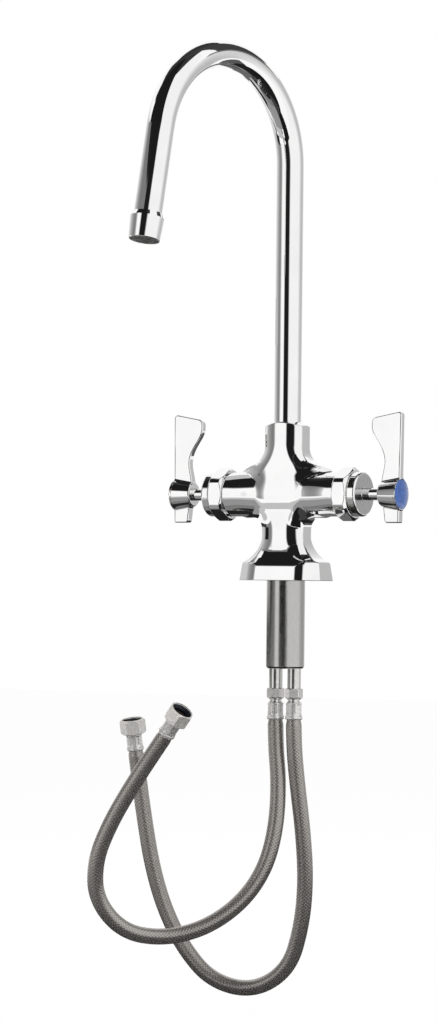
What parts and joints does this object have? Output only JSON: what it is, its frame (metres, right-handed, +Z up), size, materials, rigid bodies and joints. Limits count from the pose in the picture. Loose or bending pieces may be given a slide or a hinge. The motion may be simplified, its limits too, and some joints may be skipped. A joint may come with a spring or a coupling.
{
  "type": "gooseneck lavatory faucet",
  "caption": "Single-hole deck faucet with a swinging gooseneck spout, wrist-blade handles and braided supply hoses with swivel nuts.",
  "frame": {"origin": "centre of the body's underside, on the axis of the mounting shank, at deck level", "axes": "+Z up along the shank and riser, +X towards the cold handle, -Y towards the user"},
  "size_m": [0.2093, 0.1817, 0.6602],
  "materials": {
    "polished_chrome": "polished chrome plate",
    "satin_nickel": "satin nickel plate",
    "pale_nickel": "matte nickel plate",
    "bright_tube": "bright drawn tube",
    "crimped_steel": "crimped stainless steel",
    "braided_steel": "braided stainless wire over a rubber hose",
    "machined_brass": "machined",
    "spring_steel": "plain",
    "white_ceramic": "lapped ceramic",
    "black_rubber": "matte",
    "fibre_washer": "pressed fibre",
    "grey_screen": "moulded",
    "blue_button": "gloss moulded",
    "red_button": "gloss moulded"
  },
  "bodies": {
    "faucet_body": {"valve_body": "polished_chrome", "base_gasket": "black_rubber", "mounting_shank": "satin_nickel", "hot_seat_seal": "black_rubber", "hot_fixed_disc": "white_ceramic", "hot_cartridge_body": "machined_brass", "hot_bonnet_washer": "fibre_washer", "hot_bonnet": "polished_chrome", "hot_supply_tube": "bright_tube", "hot_hose_nipple": "bright_tube", "hot_upper_ferrule": "crimped_steel", "hot_braided_hose": "braided_steel", "hot_lower_ferrule": "crimped_steel", "hot_tail_piece": "machined_brass", "hot_cone_washer": "black_rubber", "cold_seat_seal": "black_rubber", "cold_fixed_disc": "white_ceramic", "cold_cartridge_body": "machined_brass", "cold_bonnet_washer": "fibre_washer", "cold_bonnet": "polished_chrome", "cold_supply_tube": "bright_tube", "cold_hose_nipple": "bright_tube", "cold_upper_ferrule": "crimped_steel", "cold_braided_hose": "braided_steel", "cold_lower_ferrule": "crimped_steel", "cold_tail_piece": "machined_brass", "cold_cone_washer": "black_rubber"},
    "hot_handle": {"hot_moving_disc": "white_ceramic", "hot_stem": "polished_chrome", "hot_stem_o_ring": "black_rubber", "hot_lever": "polished_chrome", "hot_handle_screw": "spring_steel", "hot_index_button": "red_button"},
    "cold_handle": {"cold_moving_disc": "white_ceramic", "cold_stem": "polished_chrome", "cold_stem_o_ring": "black_rubber", "cold_lever": "polished_chrome", "cold_handle_screw": "spring_steel", "cold_index_button": "blue_button"},
    "spout": {"spout_tube": "polished_chrome", "spout_spigot": "machined_brass", "spout_o_ring_lower": "black_rubber", "spout_o_ring_upper": "black_rubber", "spout_retaining_ring": "spring_steel", "spout_outlet": "machined_brass", "aerator_washer": "black_rubber", "aerator_insert": "grey_screen", "aerator_shell": "polished_chrome"},
    "hot_nut": {"hot_swivel_nut": "pale_nickel"},
    "cold_nut": {"cold_swivel_nut": "pale_nickel"}
  },
  "joints": [
    {"name": "hot_handle_turn", "type": "hinge", "parent": "faucet_body", "child": "hot_handle", "pos_m": [0, 0, 0.0603], "axis": [1, 0, 0], "range_deg": [0, 90]},
    {"name": "cold_handle_turn", "type": "hinge", "parent": "faucet_body", "child": "cold_handle", "pos_m": [0, 0, 0.0603], "axis": [1, 0, 0], "range_deg": [0, 90]},
    {"name": "spout_swing", "type": "hinge", "parent": "faucet_body", "child": "spout", "pos_m": [0, 0, 0.1], "axis": [0, 0, 1], "continuous": true},
    {"name": "hot_nut_turn", "type": "hinge", "parent": "faucet_body", "child": "hot_nut", "pos_m": [-0.03504, -0.09118, -0.09686], "axis": [0.6407, -0.118, 0.7587], "continuous": true},
    {"name": "cold_nut_turn", "type": "hinge", "parent": "faucet_body", "child": "cold_nut", "pos_m": [-0.10953, -0.0228, -0.10953], "axis": [-0.02, -0.1999, 0.9796], "continuous": true}
  ]
}
